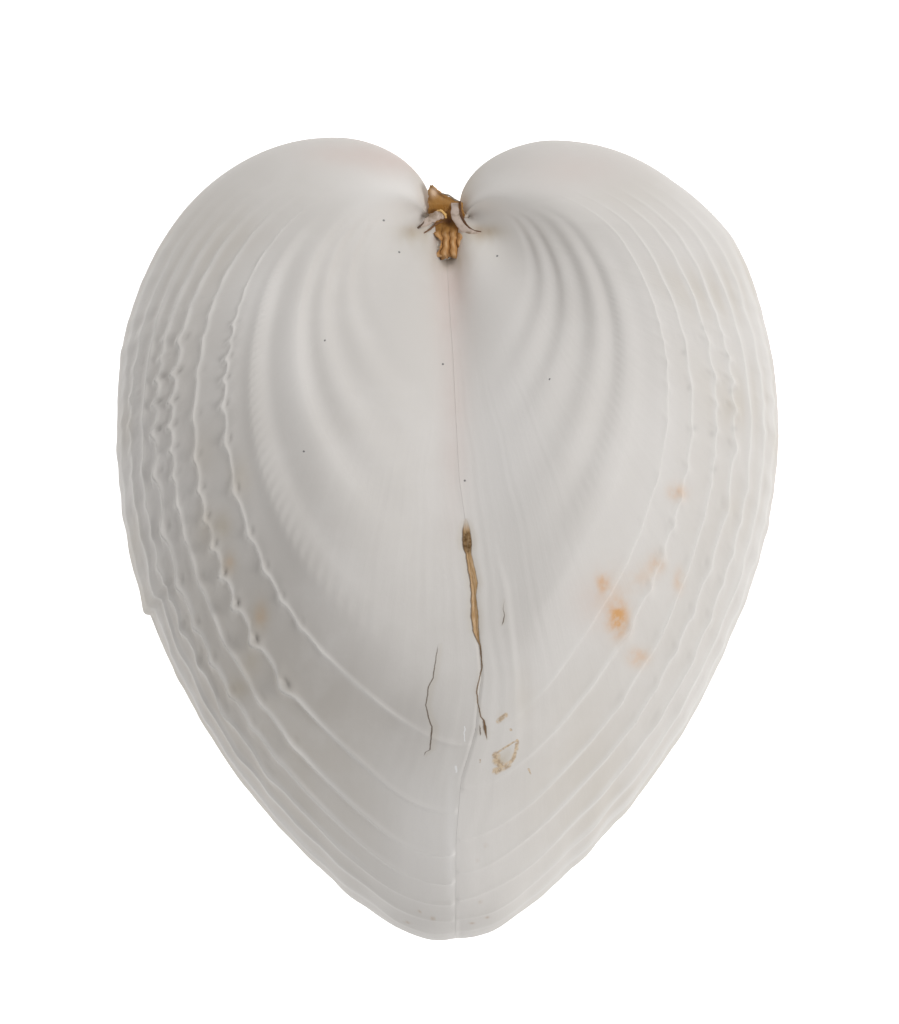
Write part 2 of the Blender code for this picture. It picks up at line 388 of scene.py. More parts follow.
def lined_share(share, turn):
    """1 where the fine growth lines show, 0 by the hinge and on the old beak."""
    return smooth_step(*LINE_SHARES, share) * (1 - smooth_step(*LINE_FADE, turn))


def ledge(turn, start, length):
    """A step up at a growth stop, which fades away behind it."""
    half = 0.006
    return smooth_step(start - half, start + half, turn) * np.exp(-np.maximum(0, turn - start) / length)


def rib_spacing(valve, rib, radius):
    """The distance to the next rib at the lip, in millimetres."""
    stations = np.array((1.0,) + valve["crests"] + (HINGE_SHARE,))
    gaps = np.abs(np.diff(stations)) * radius
    return np.interp(rib, np.arange(len(gaps)) + 0.5, gaps)


def by_rib(valve, key, rib):
    """A list of heights, one for each rib from the tip on, read at a rib number."""
    return np.interp(rib, np.arange(len(valve[key])), valve[key])


def knob_row(valve, rib_number, turn, sharpness):
    """0 to 1 along a rib: a row of rounded knobs at an even pitch, each rib out of step with the next."""
    phase = turn / valve["knob_pitch"] + 0.37 * rib_number + 0.55 * np.sin(9 * turn + 2.3 * rib_number)
    uneven = 0.62 + 0.38 * np.sin(12.9 * np.round(phase) + 4.1 * rib_number)
    ends = smooth_step(*KNOB_RISE, turn) * (1 - smooth_step(*KNOB_FADE, turn))
    return np.abs(np.cos(np.pi * phase)) ** sharpness * uneven * ends


def cord_relief(valve, shape, rib, spacing, size, turn):
    """Outer ribs: a narrow ridge on a wider foot, pushed outwards at its knobs, with a pit inside each."""
    number = np.round(rib)
    knob_height = by_rib(valve, "knob_heights", number)
    knob = knob_row(valve, number, turn, KNOB_SHARPNESS)
    pit = knob_row(valve, number, turn, PIT_SHARPNESS)
    wander = 0.06 * waves(valve["seed"] + 5, 6, 9, 60, turn + 0.9 * number)
    distance = (rib - number) * spacing * size + wander * size + KNOB_PUSH * knob_height * knob
    width = shape.cord_width * (0.6 + 0.4 * size)
    ridge = sum(height * bell(distance, widths * width) for height, widths in (RIDGE, RIDGE_FOOT))
    uneven = 1 + 0.22 * waves(valve["seed"] + 3, 6, 12, 90, turn + number)
    fade = (0.45 + 0.55 * smooth_step(*CORD_RISE, turn)) * (1 - smooth_step(*CORD_FADE, turn))
    dome = KNOB[0] * knob_height * knob * bell(distance - KNOB[1], KNOB[2])
    hole = PIT[0] * knob_height * pit * bell(distance - PIT[1], PIT[2])
    return by_rib(valve, "cord_heights", number) * ridge * uneven * fade + dome - hole


def fold_relief(valve, rib, turn):
    """Inner ribs: broad waves that grow out of the smooth lip and fade at the beak, and one beaded groove."""
    spread = smooth_step(*FOLD_RISE, turn) * (1 - smooth_step(*FOLD_FADE, turn))
    fold = by_rib(valve, "fold_heights", rib) * (0.5 + 0.5 * np.cos(2 * np.pi * rib))
    at, width, depth = valve["groove"]
    groove = depth * bell(rib - at, width)
    height, offset, bead_width, pitch = BEADS
    beads = height * depth * bell(rib - at + offset, bead_width) * np.cos(2 * np.pi * turn / pitch)
    return (fold - groove + beads) * spread


def seam_relief(valve, share, turn):
    """The last growth along the seam: a raised band with long wrinkles."""
    low, high = LATE_BAND_SHARES
    in_band = smooth_step(low - 0.08, low + 0.05, share) * (1 - smooth_step(high, high + 0.03, share))
    edge = LATE_BAND_TURN + 0.004 * np.sin(37 * share)
    band = valve["band_height"] * in_band * (1 - smooth_step(edge - 0.012, edge + 0.010, turn))
    creases = waves(valve["seed"] + 7, 6, 90, 330, turn + 0.02 * share)
    return band + WRINKLE_HEIGHT * in_band * bell(turn, 0.13) * creases


def keel_relief(valve, share, turn):
    """The keel's rough edge, and the step where the growth stopped once, with a dip before it."""
    rough = ROUGH_HEIGHT * waves(valve["seed"] + 15, 7, 30, 110, turn + 0.5 * share)
    rough = rough * (1 - smooth_step(*ROUGH_FADE, turn))
    dip = NOTCH_DIP[0] * bell(turn - NOTCH_TURN, NOTCH_DIP[1]) * (turn < NOTCH_TURN)
    notch = valve["notch_height"] * (ledge(turn, NOTCH_TURN, NOTCH_LENGTH) - dip)
    return smooth_step(*KEEL_SHARES, share) * (rough + notch)


def front_relief(valve, shape, rib, share, spacing, size, turn):
    """Height over the smooth face, in millimetres: cords, folds, growth lines, the keel and the band."""
    cords = cord_relief(valve, shape, rib, spacing, size, turn)
    folds = fold_relief(valve, rib, turn)
    lines = shape.line_height * growth_lines(valve, rib, turn) * (1 + bell(turn, 0.3))
    lines = lines * lined_share(share, turn)
    edges = keel_relief(valve, share, turn) + seam_relief(valve, share, turn)
    return (cords + folds + lines + edges) * smooth_step(0, MEETING_TURN, turn)


def back_relief(valve, shape, rib, size, turn):
    """The back's ribs: rounded, even, crossed by the same growth lines."""
    ends = smooth_step(0.2, 0.6, rib) * (1 - smooth_step(BACK_RIBS - 0.6, BACK_RIBS - 0.2, rib))
    ridge = np.clip(np.cos(2 * np.pi * rib), -0.2, 1) * BACK_RIB_HEIGHT * size**0.3 * ends
    return ridge + shape.line_height * growth_lines(valve, rib, turn)


def outward(points):
    """Unit normals of a closed grid of points, rows by columns, from its two tangents."""
    along = np.gradient(points, axis=0)
    across = np.roll(points, -1, axis=1) - np.roll(points, 1, axis=1)
    normal = np.cross(along, across)
    length = np.linalg.norm(normal, axis=-1, keepdims=True)
    normal = normal / np.maximum(length, 1e-12)
    centre = points.mean(axis=1, keepdims=True)
    facing = np.sign((normal * (points - centre)).sum(axis=(1, 2)))[:, None, None]
    return normal * np.where(facing == 0, 1, facing)


def outer_surface(valve, shape):
    """The outside of a valve as a grid, turns by columns, with what the paint needs at each point."""
    rib, share, depth, face = lip_columns(valve)
    turn = turn_rows(valve)[:, None]
    size = growth(valve, turn)
    radius, level = section(valve, shape.radius, share, depth, turn)
    gap = GROWN_GAP - (GROWN_GAP - LIP_GAP) * bell(turn, 0.05)
    smooth = place(valve, share, radius, level, turn, gap)
    spacing = rib_spacing(valve, rib, shape.radius)
    front = front_relief(valve, shape, rib, share, spacing, size, turn) * (0.35 + 0.65 * size)
    back = back_relief(valve, shape, rib, size, turn)
    relief = np.where(face > 0, front, np.where(face < 0, back, 0.0))
    push = outward(smooth) * relief[..., None]
    push[..., 0] *= 1 - bell(turn, 0.03)
    points = smooth + push
    from_seam = radius * np.sin(turn)
    half_width = crack_half_width(points[..., 1])
    trough = TROUGH_DEPTH * np.clip(half_width / 0.1, 0, 1) * bell(from_seam, 0.05 + half_width)
    trough = trough * smooth_step(*TROUGH_END, points[..., 1])
    points[..., 2] -= trough * (face > 0)
    return points, dict(rib=rib, share=share, face=face, turn=turn, size=size, spacing=spacing)


def inner_surface(valve, shape):
    """The rim and the hollow: the lip loop drawn in towards the middle of each section."""
    _, share, depth, _ = lip_columns(valve)
    turn = np.concatenate([[0.0, 0.0], np.linspace(0.06, INNER_LAST_TURN, INNER_ROWS)])[:, None]
    radius, level = section(valve, shape.radius, share, depth, turn)
    middle_radius = radius.mean(axis=1, keepdims=True)
    middle_level = level.mean(axis=1, keepdims=True)
    reach = np.hypot(radius - middle_radius, level - middle_level)
    inset = np.full(len(turn), WALL)
    inset[0] = LIP_INSET
    keep = 1 - inset[:, None] / np.maximum(reach, 2 * WALL)
    radius = middle_radius + (radius - middle_radius) * keep
    level = middle_level + (level - middle_level) * keep
    return place(valve, share, radius, level, turn, LIP_GAP / 2)


def closed_skin(name, grid):
    """One closed mesh from a grid of rings, rows by columns: quads between rings and a fan at each end."""
    rows, columns = grid.shape[:2]
    first_pole = grid[0].mean(axis=0)
    last_pole = grid[-1].mean(axis=0)
    points = np.concatenate([grid.reshape(-1, 3), [first_pole, last_pole]]) * MM
    row, column = np.meshgrid(np.arange(rows - 1), np.arange(columns), indexing="ij")
    beside = (column + 1) % columns
    here, ahead = row * columns, (row + 1) * columns
    quads = np.stack([here + column, here + beside, ahead + beside, ahead + column], axis=-1).reshape(-1, 4)
    around = np.arange(columns)
    following = (around + 1) % columns
    start, end = rows * columns, rows * columns + 1
    last = (rows - 1) * columns
    first_fan = np.stack([np.full(columns, start), following, around], axis=-1)
    last_fan = np.stack([np.full(columns, end), last + around, last + following], axis=-1)
    middle = points.mean(axis=0)
    triangles = np.concatenate([quads[:, [0, 1, 2]], quads[:, [0, 2, 3]], first_fan, last_fan])
    corners = points[triangles] - middle
    volume = np.einsum("ij,ij->i", corners[:, 0], np.cross(corners[:, 1], corners[:, 2])).sum()
    if volume < 0:
        quads, first_fan, last_fan = quads[:, ::-1], first_fan[:, ::-1], last_fan[:, ::-1]
    mesh = bpy.data.meshes.new(name)
    mesh.from_pydata(points, [], quads.tolist() + first_fan.tolist() + last_fan.tolist())
    mesh.shade_smooth()
    return mesh


def crease_ring(mesh, first, count):
    """Marks the edges of one ring sharp, so that its two sides shade apart."""
    ends = np.empty(len(mesh.edges) * 2, dtype=np.int32)
    mesh.edges.foreach_get("vertices", ends)
    on_ring = ((ends >= first) & (ends < first + count)).reshape(-1, 2).all(axis=1)
    mesh.edges.foreach_set("use_edge_sharp", on_ring)


def add_colours(mesh, name, colours):
    layer = mesh.color_attributes.new(name=name, type="FLOAT_COLOR", domain="POINT")
    filled = np.ones((len(mesh.vertices), 4))
    filled[:, :3] = colours
    layer.data.foreach_set("color", filled.ravel())


def add_values(mesh, name, values):
    layer = mesh.attributes.new(name=name, type="FLOAT", domain="POINT")
    layer.data.foreach_set("value", np.asarray(values, dtype=np.float32))


def add_piece(name, mesh, material, replaced):
    thing = bpy.data.objects.new(name, mesh)
    bpy.context.scene.collection.objects.link(thing)
    mesh.materials.append(material)
    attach(thing, "root")
    for node in replaced:
        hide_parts(node)
    return thing


# Soft marks on the face: (x, y, half width, half height, strength), in millimetres.
ORANGE_SPOTS = (
    (10.44, -4.8, 0.55, 0.95, 1.0),
    (9.46, -2.63, 0.35, 0.5, 0.62),
    (12.81, -1.45, 0.5, 0.6, 0.4),
    (14.19, -2.54, 0.35, 0.7, 0.3),
    (11.72, -7.17, 0.6, 0.55, 0.45),
    (14.09, 2.88, 0.55, 0.5, 0.4),
    (11.92, -2.34, 0.7, 0.7, 0.18),
    (9.85, -3.52, 1.3, 1.8, 0.14),
    (-13.2, -1.4, 0.35, 0.6, 0.16),
    (-11.3, -4.6, 0.4, 0.7, 0.2),
)
TAN_PATCHES = (
    (-13.6, 0.8, 0.55, 0.90, 0.60),
    (-13.2, -1.4, 0.50, 0.70, 0.50),
    (-11.3, -4.6, 0.55, 0.90, 0.62),
    (-11.9, -7.4, 0.50, 0.80, 0.45),
    (-12.7, -9.2, 0.60, 0.70, 0.62),
    (-12.5, 3.8, 0.70, 1.10, 0.35),
    (3.30, -13.35, 0.36, 0.30, 0.70),
    (3.70, -12.95, 0.42, 0.42, 0.40),
    (3.30, -10.70, 0.28, 0.22, 0.45),
    (4.60, -9.60, 0.70, 1.80, 0.20),
    (-14.7, 0.6, 0.7, 1.6, 0.30),
    (-14.9, 5.2, 0.8, 1.6, 0.20),
    (-19.9, 6.8, 0.5, 1.6, 0.35),
    (-19.3, -0.4, 0.5, 1.8, 0.35),
    (-18.8, -3.8, 0.5, 1.2, 0.40),
    (17.7, 8.0, 0.7, 0.9, 0.20),
    (20.5, 5.9, 0.4, 1.2, 0.25),
    (17.4, 2.1, 0.6, 0.6, 0.15),
    (0.2, 18.6, 3.2, 1.8, 0.30),
    (2.3, 19.05, 1.2, 0.50, 0.85),
    (-1.9, 19.0, 1.0, 0.45, 0.80),
    (0.2, 17.4, 0.9, 0.5, 0.45),
)
BROWN_MARKS = (
    (2.10, 19.12, 0.80, 0.30, 0.48),
    (-1.80, 19.20, 0.62, 0.30, 0.44),
    (0.20, 17.34, 0.60, 0.22, 0.18),
    (-2.40, -23.62, 0.16, 0.07, 0.50),
    (-0.82, -23.28, 0.09, 0.12, 0.60),
    (1.58, -23.63, 0.14, 0.07, 0.50),
    (2.52, -23.26, 0.12, 0.07, 0.50),
    (-1.65, -22.83, 0.10, 0.07, 0.45),
    (2.09, -22.20, 0.07, 0.10, 0.45),
    (2.40, -18.58, 0.06, 0.14, 0.40),
    (1.90, -19.51, 0.06, 0.12, 0.35),
)
# Painted shade: small grey spots on the right flank for the shade of shallow dents, which have no relief of
# their own.
DENT_SHADE_SPOTS = (
    (14.56, 11.47, 0.16, 0.20, 0.20),
    (14.87, 9.29, 0.16, 0.20, 0.22),
    (15.18, 6.80, 0.18, 0.20, 0.22),
    (15.80, 13.03, 0.15, 0.18, 0.18),
    (16.30, 6.48, 0.18, 0.20, 0.22),
    (16.43, 4.30, 0.18, 0.20, 0.22),
    (17.30, 11.35, 0.15, 0.18, 0.18),
    (17.55, 9.16, 0.18, 0.20, 0.22),
    (17.74, 6.80, 0.18, 0.20, 0.22),
    (2.00, 18.30, 0.15, 0.15, 0.15),
)
PINK_PATCHES = (
    (0.3, 15.5, 1.0, 3.5, 0.55),
    (0.5, 7.0, 0.9, 6.0, 0.35),
    (-2.9, 23.4, 2.0, 0.9, 0.50),
    (-6.0, 23.9, 2.6, 0.8, 0.40),
    (8.0, 23.0, 3.0, 1.2, 0.25),
    (8.8, -3.9, 1.5, 1.6, 0.22),
)
# Painted light: lighter white patches on the middle, the beaks, the seam, the flanks and the left edge, which
# lift their shading.
PAINTED_LIGHT_PATCHES = (
    (1.7, 17.2, 1.2, 2.2, 0.75),
    (-1.6, -17.5, 2.2, 5.0, 0.35),
    (0.3, -18.5, 0.3, 4.5, 0.45),
    (3.2, 7.0, 3.2, 7.5, 0.80),
    (-3.6, 20.5, 2.2, 2.6, 0.70),
    (3.6, 19.6, 1.8, 1.8, 0.60),
    (-11.6, 15.5, 2.4, 2.0, 0.30),
    (-9.6, 10.5, 1.6, 3.6, 0.45),
    (-11.5, -15.5, 4.0, 3.5, 0.40),
    (-19.8, 0.0, 2.2, 12.0, 0.50),
    (-4.0, -18.0, 7.0, 3.5, 0.45),
    (-14.0, 14.5, 4.0, 4.0, 0.28),
    (14.5, 8.0, 6.0, 10.0, 0.35),
)
# Painted shade: grey brown patches that darken the lower left flank, the left edge and the tip.
PAINTED_SHADE_PATCHES = (
    (-10.2, -3.6, 3.0, 4.6, 0.26),
    (-6.6, -8.8, 3.4, 3.2, 0.26),
    (-2.2, -11.2, 2.0, 2.2, 0.28),
    (-13.0, 7.5, 2.2, 6.5, 0.10),
    (0.0, -23.6, 6.0, 1.2, 0.20),
)


def blend_in(colours, tint, strength):
    """Paints a tint over the colours, by a strength at each point."""
    strength = np.clip(strength, 0, 1)[..., None]
    return colours * (1 - strength) + np.array(tint) * strength


def patches(points, marks):
    """The strength of a list of soft oval marks on the face: the sum of their bells."""
    total = np.zeros(points.shape[:-1])
    for x, y, half_width, half_height, strength in marks:
        total += strength * np.exp(
            -(((points[..., 0] - x) / half_width) ** 2) - ((points[..., 1] - y) / half_height) ** 2
        )
    return total


def paint(valve, points, facts, colours):
    """The valve's colour at each point.

    It starts white. Then come the patches of painted light and painted shade, tan furrows, a painted
    highlight along the cords, painted shade in the pits beside the knobs, the pink and tan marks, painted
    shade in the small dents, the brown marks, and a tan beak.
    """
    rib, share, turn = facts["rib"], facts["share"], facts["turn"]
    on_front = (facts["face"] > 0).astype(float)
    number = np.round(rib)
    knob_height = by_rib(valve, "knob_heights", number)
    knob = knob_row(valve, number, turn, KNOB_SHARPNESS)
    distance = (rib - number) * facts["spacing"] * facts["size"] + KNOB_PUSH * knob_height * knob
    near_crest = bell(distance, 0.17) * (number >= 1) * (number <= CORD_RIBS)
    near_crest = near_crest * (1 - smooth_step(1.15, 1.8, turn)) * smooth_step(0.02, 0.20, turn)
    flank = smooth_step(0.66, 0.9, share) * (1 - smooth_step(1.3, 2.0, turn))
    mottled = 0.5 + 0.5 * waves(valve["seed"] + 9, 8, 3, 26, turn + 0.6 * share + 0.05 * rib)
    furrows = 0.30 * flank * mottled * (1 - near_crest) * smooth_step(0.0, 0.25, turn)
    # Painted shade in the pits beside the knobs.
    pits = knob_height * knob_row(valve, number, turn, PIT_SHARPNESS) * bell(distance - PIT[1], PIT[2])
    # Painted shade on the lower left flank, the left edge and the tip, kept off the cords.
    painted_shade = patches(points, PAINTED_SHADE_PATCHES) * (1 - 0.7 * near_crest)
    old_beak = 0.3 * smooth_step(2.6, 3.2, turn) * np.ones_like(share)
    painted = np.ones(points.shape[:-1])[..., None] * np.array(colours.white)
    for tint, strength in (
        (colours.bright, patches(points, PAINTED_LIGHT_PATCHES) * on_front),
        (colours.shade, painted_shade * on_front),
        (colours.tan, furrows),
        # Painted highlight along the crests of the outer ribs.
        (colours.crest_highlight, 0.55 * near_crest * on_front),
        (colours.pit, 0.8 * pits * on_front),
        (colours.pink, patches(points, PINK_PATCHES) * on_front),
        (colours.tan, patches(points, TAN_PATCHES) * on_front),
        (colours.pit, patches(points, DENT_SHADE_SPOTS) * on_front),
        (colours.grime, patches(points, BROWN_MARKS) * on_front),
        (colours.tan, old_beak),
    ):
        painted = blend_in(painted, tint, strength)
    return painted


def build_valve(name, valve, node):
    """A valve as one closed mesh, with its paint and what its material reads at each point."""
    shape = bpy.context.scene.cockle_shape
    colours = bpy.context.scene.cockle_colours
    outer, facts = outer_surface(valve, shape)
    inner = inner_surface(valve, shape)[::-1]
    mesh = closed_skin(name, np.concatenate([inner, outer]))
    crease_ring(mesh, inner[..., 0].size, inner.shape[1])
    white = np.array(colours.white)
    inner_paint = np.broadcast_to(white, inner.shape).reshape(-1, 3)
    outer_paint = paint(valve, outer, facts, colours).reshape(-1, 3)
    add_colours(mesh, "paint", np.concatenate([inner_paint, outer_paint, [white, white]]))
    unpainted = np.zeros(inner[..., 0].size)
    turns = np.broadcast_to(facts["turn"], outer.shape[:2])
    lined = lined_share(facts["share"], facts["turn"])
    spots = patches(outer, ORANGE_SPOTS) * (facts["face"] > 0)
    for key, values, last in (("turn", turns, LAST_TURN), ("lined", lined, 0), ("orange", spots, 0)):
        add_values(mesh, key, np.concatenate([unpainted, values.ravel(), [0, last]]))
    return add_piece(name, mesh, shell_material(name + "_surface"), [node])


class NodeBench:
    """Adds shader nodes to a material and joins them."""

    def __init__(self, name):
        self.material = bpy.data.materials.new(name)
        self.material.use_nodes = True
        self.tree = self.material.node_tree
        self.shader = self.tree.nodes["Principled BSDF"]

    def node(self, kind, settings=(), **inputs):
        node = self.tree.nodes.new(kind)
        for key, value in dict(settings).items():
            setattr(node, key, value)
        for key, value in inputs.items():
            self.feed(node, key, value)
        return node

    def feed(self, node, key, value):
        socket = node.inputs[int(key[1:])] if key[0] == "i" and key[1:].isdigit() else node.inputs[key]
        if isinstance(value, bpy.types.NodeSocket):
            self.tree.links.new(value, socket)
        else:
            socket.default_value = value

    def maths(self, operation, first, second=0.0):
        return self.node("ShaderNodeMath", {"operation": operation}, i0=first, i1=second).outputs[0]

    def product(self, first, *others):
        for other in others:
            first = self.maths("MULTIPLY", first, other)
        return first

    def attribute(self, name, output="Fac"):
        return self.node("ShaderNodeAttribute", {"attribute_name": name}).outputs[output]

    def bump(self, strength, distance, height):
        node = self.node("ShaderNodeBump", {}, Strength=strength, Distance=distance, Height=height)
        self.feed(self.shader, "Normal", node.outputs[0])

    def ramp(self, value, low, high, start=0.0, end=1.0):
        """A smooth rise from start to end as the value goes from low to high."""
        node = self.node("ShaderNodeMapRange", {"interpolation_type": "SMOOTHSTEP"}, Value=value)
        for key, number in (("From Min", low), ("From Max", high), ("To Min", start), ("To Max", end)):
            node.inputs[key].default_value = number
        return node.outputs[0]

    def mix(self, share, first, second):
        node = self.node("ShaderNodeMix", {"data_type": "RGBA"})
        self.feed(node, "i0", share)
        self.feed(node, "i6", first)
        self.feed(node, "i7", second)
        return node.outputs[2]

    def noise(self, where, scale, detail=4.0, roughness=0.55):
        numbers = dict(Scale=scale, Detail=detail, Roughness=roughness)
        return self.node("ShaderNodeTexNoise", {}, Vector=where, **numbers).outputs[0]

    def vector(self, operation, first, second, output=0):
        node = self.node("ShaderNodeVectorMath", {"operation": operation}, i0=first, i1=second)
        return node.outputs[output]


# Thin marks on the face. Each course lists x at heights y, and each mark its half width, in millimetres.
FISSURE_COURSE = (
    (-6.14, -0.48), (-6.92, -0.59), (-8.34, -0.81), (-8.85, -1.08), (-9.97, -1.23), (-10.59, -1.12),
    (-11.29, -0.87), (-11.95, -0.91), (-12.68, -0.99), (-12.82, -1.25), (-13.11, -1.4),
)
FISSURE_WIDTHS = (
    (-6.14, 0.0), (-6.92, 0.025), (-8.85, 0.035), (-10.01, 0.03), (-11.56, 0.05), (-12.82, 0.03),
    (-13.11, 0.0),
)
CHECK_COURSE = (
    (-3.43, 3.49), (-4.21, 3.44), (-4.59, 3.51), (-5.17, 3.36),
)
CHECK_WIDTHS = (
    (-3.43, 0.0), (-4.4, 0.02), (-4.98, 0.035), (-5.22, 0.0),
)
BRANCH_COURSE = (
    (-11.08, 2.0), (-11.37, 2.04), (-11.85, 2.06),
)
BRANCH_WIDTHS = (
    (-11.08, 0.0), (-11.37, 0.03), (-11.66, 0.04), (-11.85, 0.0),
)
SCAR_LINES = (
    (0.05, ((4.29, -12.08), (3.64, -12.48), (3.13, -12.82), (2.83, -13.01))),
    (0.21, ((3.01, -13.01), (3.03, -13.35), (3.3, -13.64))),
    (0.19, ((2.98, -13.98), (3.3, -13.81), (3.73, -13.61))),
    (0.1, ((3.73, -13.61), (4.03, -13.26), (4.24, -12.68), (4.29, -12.14))),
    (0.13, ((3.14, -10.94), (3.32, -10.77), (3.61, -10.57))),
    (0.07, ((3.86, -11.45), (3.91, -11.48))),
    (0.05, ((4.98, -13.89), (5.11, -14.18))),
    (0.03, ((2.05, -13.26), (2.06, -13.45))),
)
GLINTS = (
    (0.03, ((1.1, -11.27), (1.09, -12.14))),
    (0.06, ((0.56, -13.69), (0.61, -14.0))),
)
SPECKS = (
    (-3.9, 19.74), (-2.91, 17.77), (3.11, 17.53), (-0.21, 10.77),
    (6.3, 9.79), (-7.45, 12.18), (-8.68, 5.36), (1.14, 3.59),
)
SPECK_RADIUS = 0.085


def course_curve(bench, height, course):
    """The value of a course, in metres, at a height in metres."""
    points = sorted(course)
    low, high = points[0][0] * MM, points[-1][0] * MM
    least = min(value for _, value in points)
    reach = max(max(value for _, value in points) - least, 1e-6)
    share = bench.node("ShaderNodeMapRange", {}, Value=height)
    share.inputs["From Min"].default_value = low
    share.inputs["From Max"].default_value = high
    curve = bench.node("ShaderNodeFloatCurve", {}, Value=share.outputs[0])
    line = curve.mapping.curves[0]
    places = [((y * MM - low) / (high - low), (value - least) / reach) for y, value in points]
    line.points[0].location = places[0]
    line.points[1].location = places[-1]
    for place_on_line in places[1:-1]:
        line.points.new(*place_on_line)
    for point in line.points:
        point.handle_type = "VECTOR"
    curve.mapping.update()
    scaled = bench.maths("MULTIPLY", curve.outputs[0], reach * MM)
    return bench.maths("ADD", scaled, least * MM)


def course_gap(bench, across, height, course):
    """Signed distance to the right of a course."""
    return bench.maths("SUBTRACT", across, course_curve(bench, height, course))


def course_mask(bench, gap, height, widths, soft, widen=1.0):
    """1 inside a course's half widths, with an edge of the given softness, and 0 where the width is 0."""
    half = bench.maths("MULTIPLY", course_curve(bench, height, widths), widen)
    depth = bench.maths("SUBTRACT", half, bench.maths("ABSOLUTE", gap))
    inside = bench.ramp(depth, -soft * MM, soft * MM)
    return bench.maths("MULTIPLY", inside, bench.ramp(half, 0.0, 0.02 * MM))


def line_distance(bench, where, start, end):
    """Distance in the face plane from a point to a stretch of line."""
    start, end = np.array((*start, 0)) * MM, np.array((*end, 0)) * MM
    run = end - start
    offset = bench.vector("SUBTRACT", where, start)
    along = bench.vector("DOT_PRODUCT", offset, run, "Value")
    clamped = {"operation": "DIVIDE", "use_clamp": True}
    share = bench.node("ShaderNodeMath", clamped, i0=along, i1=float(max(run @ run, 1e-12)))
    nearest = bench.node("ShaderNodeVectorMath", {"operation": "SCALE"}, i0=run)
    bench.feed(nearest, "Scale", share.outputs[0])
    return bench.vector("DISTANCE", offset, nearest.outputs[0], "Value")


def line_mask(bench, where, lines, spread):
    """1 on any of the lines and 0 beyond spread times their half width."""
    mask = 0.0
    for half_width, points in lines:
        for start, end in zip(points, points[1:]):
            gap = line_distance(bench, where, start, end)
            near = bench.ramp(gap, half_width * MM * 0.5, half_width * MM * spread, 1.0, 0.0)
            mask = bench.maths("MAXIMUM", near, mask)
    return mask


def flecks(bench, where, places, radius):
    """1 inside small round flecks at places on the face."""
    mask = 0.0
    for x, y in places:
        gap = bench.vector("DISTANCE", where, (x * MM, y * MM, 0), "Value")
        mask = bench.maths("MAXIMUM", bench.ramp(gap, 0.4 * radius * MM, radius * MM, 1.0, 0.0), mask)
    return mask


# Colours of the thin marks.
DARK_BROWN = (0.10, 0.055, 0.025, 1)
FIBRES = ((0.50, 0.30, 0.13, 1), (0.68, 0.47, 0.27, 1))
CRUMBS = (0.13, 0.065, 0.015, 1)
# Painted shade: the almost black of the crack's narrow gap.
THIN_CRACK_SHADE = (0.16, 0.085, 0.035, 1)
SCAR = ((0.70, 0.52, 0.32, 1), (0.46, 0.31, 0.17, 1))
GLINT = (1, 1, 1, 1)
SPECK = (0.05, 0.05, 0.06, 1)

# Colours that the materials mix into the paint, and the dark and light tones of worn shell.
LINE_COLOUR = (0.62, 0.58, 0.53, 1)
MOTTLE_COLOUR = (0.85, 0.82, 0.79, 1)
HORN_DARK = (0.16, 0.065, 0.014, 1)
HORN_LIGHT = (0.80, 0.52, 0.26, 1)
PLATE_TONES = ((0.34, 0.24, 0.16, 1), (0.66, 0.54, 0.46, 1))
BEDDING_TONES = ((0.66, 0.58, 0.48, 1), (0.74, 0.69, 0.62, 1))

# Where the crack's filling changes, as heights in metres: the dark crumbs, the thin end and the faded top.
CRUMBS_BOTTOM = (-0.95 * MM, -0.65 * MM)
CRUMBS_TOP = (0.30 * MM, 0.75 * MM)
THIN_END = (-6.7 * MM, -5.9 * MM)
CRACK_TOP = (0.45 * MM, 1.15 * MM)


def crack_filling(bench, gap, height, crumbs):
    """Brown fibres along the crack, dark crumbs at its top, and painted shade, almost black, where it is
    thin.
    """
    streaks = bench.node("ShaderNodeCombineXYZ", {}, X=gap, Y=bench.product(height, 0.12))
    fibres = bench.noise(streaks.outputs[0], 14000.0, 3.0)
    filling = bench.mix(bench.ramp(fibres, 0.35, 0.65), *FIBRES)
    above = bench.ramp(height, *CRUMBS_BOTTOM)
    below = bench.ramp(height, *CRUMBS_TOP, 1.0, 0.0)
    filling = bench.mix(bench.product(above, below, bench.ramp(crumbs, 0.3, 0.6, 1.0, 0.55)), filling, CRUMBS)
    thin = bench.ramp(height, *THIN_END, 1.0, 0.0)
    return bench.mix(bench.product(thin, 0.9), filling, THIN_CRACK_SHADE)


def crack_edges(bench, gap, height):
    """1 along the crack's edges where it is wide, and stronger on its left."""
    half = course_curve(bench, height, CRACK_WIDTHS)
    left = bench.maths("ABSOLUTE", bench.maths("ADD", gap, half))
    right = bench.maths("ABSOLUTE", bench.maths("SUBTRACT", gap, half))
    left = bench.ramp(left, 0.02 * MM, 0.07 * MM, 0.70, 0.0)
    right = bench.ramp(right, 0.01 * MM, 0.05 * MM, 0.3, 0.0)
    wide = bench.ramp(half, 0.02 * MM, 0.09 * MM)
    return bench.product(bench.maths("MAXIMUM", left, right), wide)


def crack_marks(bench, colour, across, height, facing, crumbs):
    """The open crack over the colour: its halo, filling and edges. Also gives the filling's mask."""
    gap = course_gap(bench, across, height, CRACK_COURSE)
    halo = course_mask(bench, gap, height, CRACK_WIDTHS, 0.30, 2.0)
    fill = course_mask(bench, gap, height, CRACK_WIDTHS, 0.03)
    shown = bench.product(facing, bench.ramp(height, *CRACK_TOP, 1.0, 0.15))
    colour = bench.mix(bench.product(halo, 0.38), colour, (*bpy.context.scene.cockle_colours.tan, 1))
    colour = bench.mix(bench.product(fill, shown), colour, crack_filling(bench, gap, height, crumbs))
    edges = crack_edges(bench, gap, height)
    return bench.mix(bench.product(edges, shown), colour, DARK_BROWN), fill


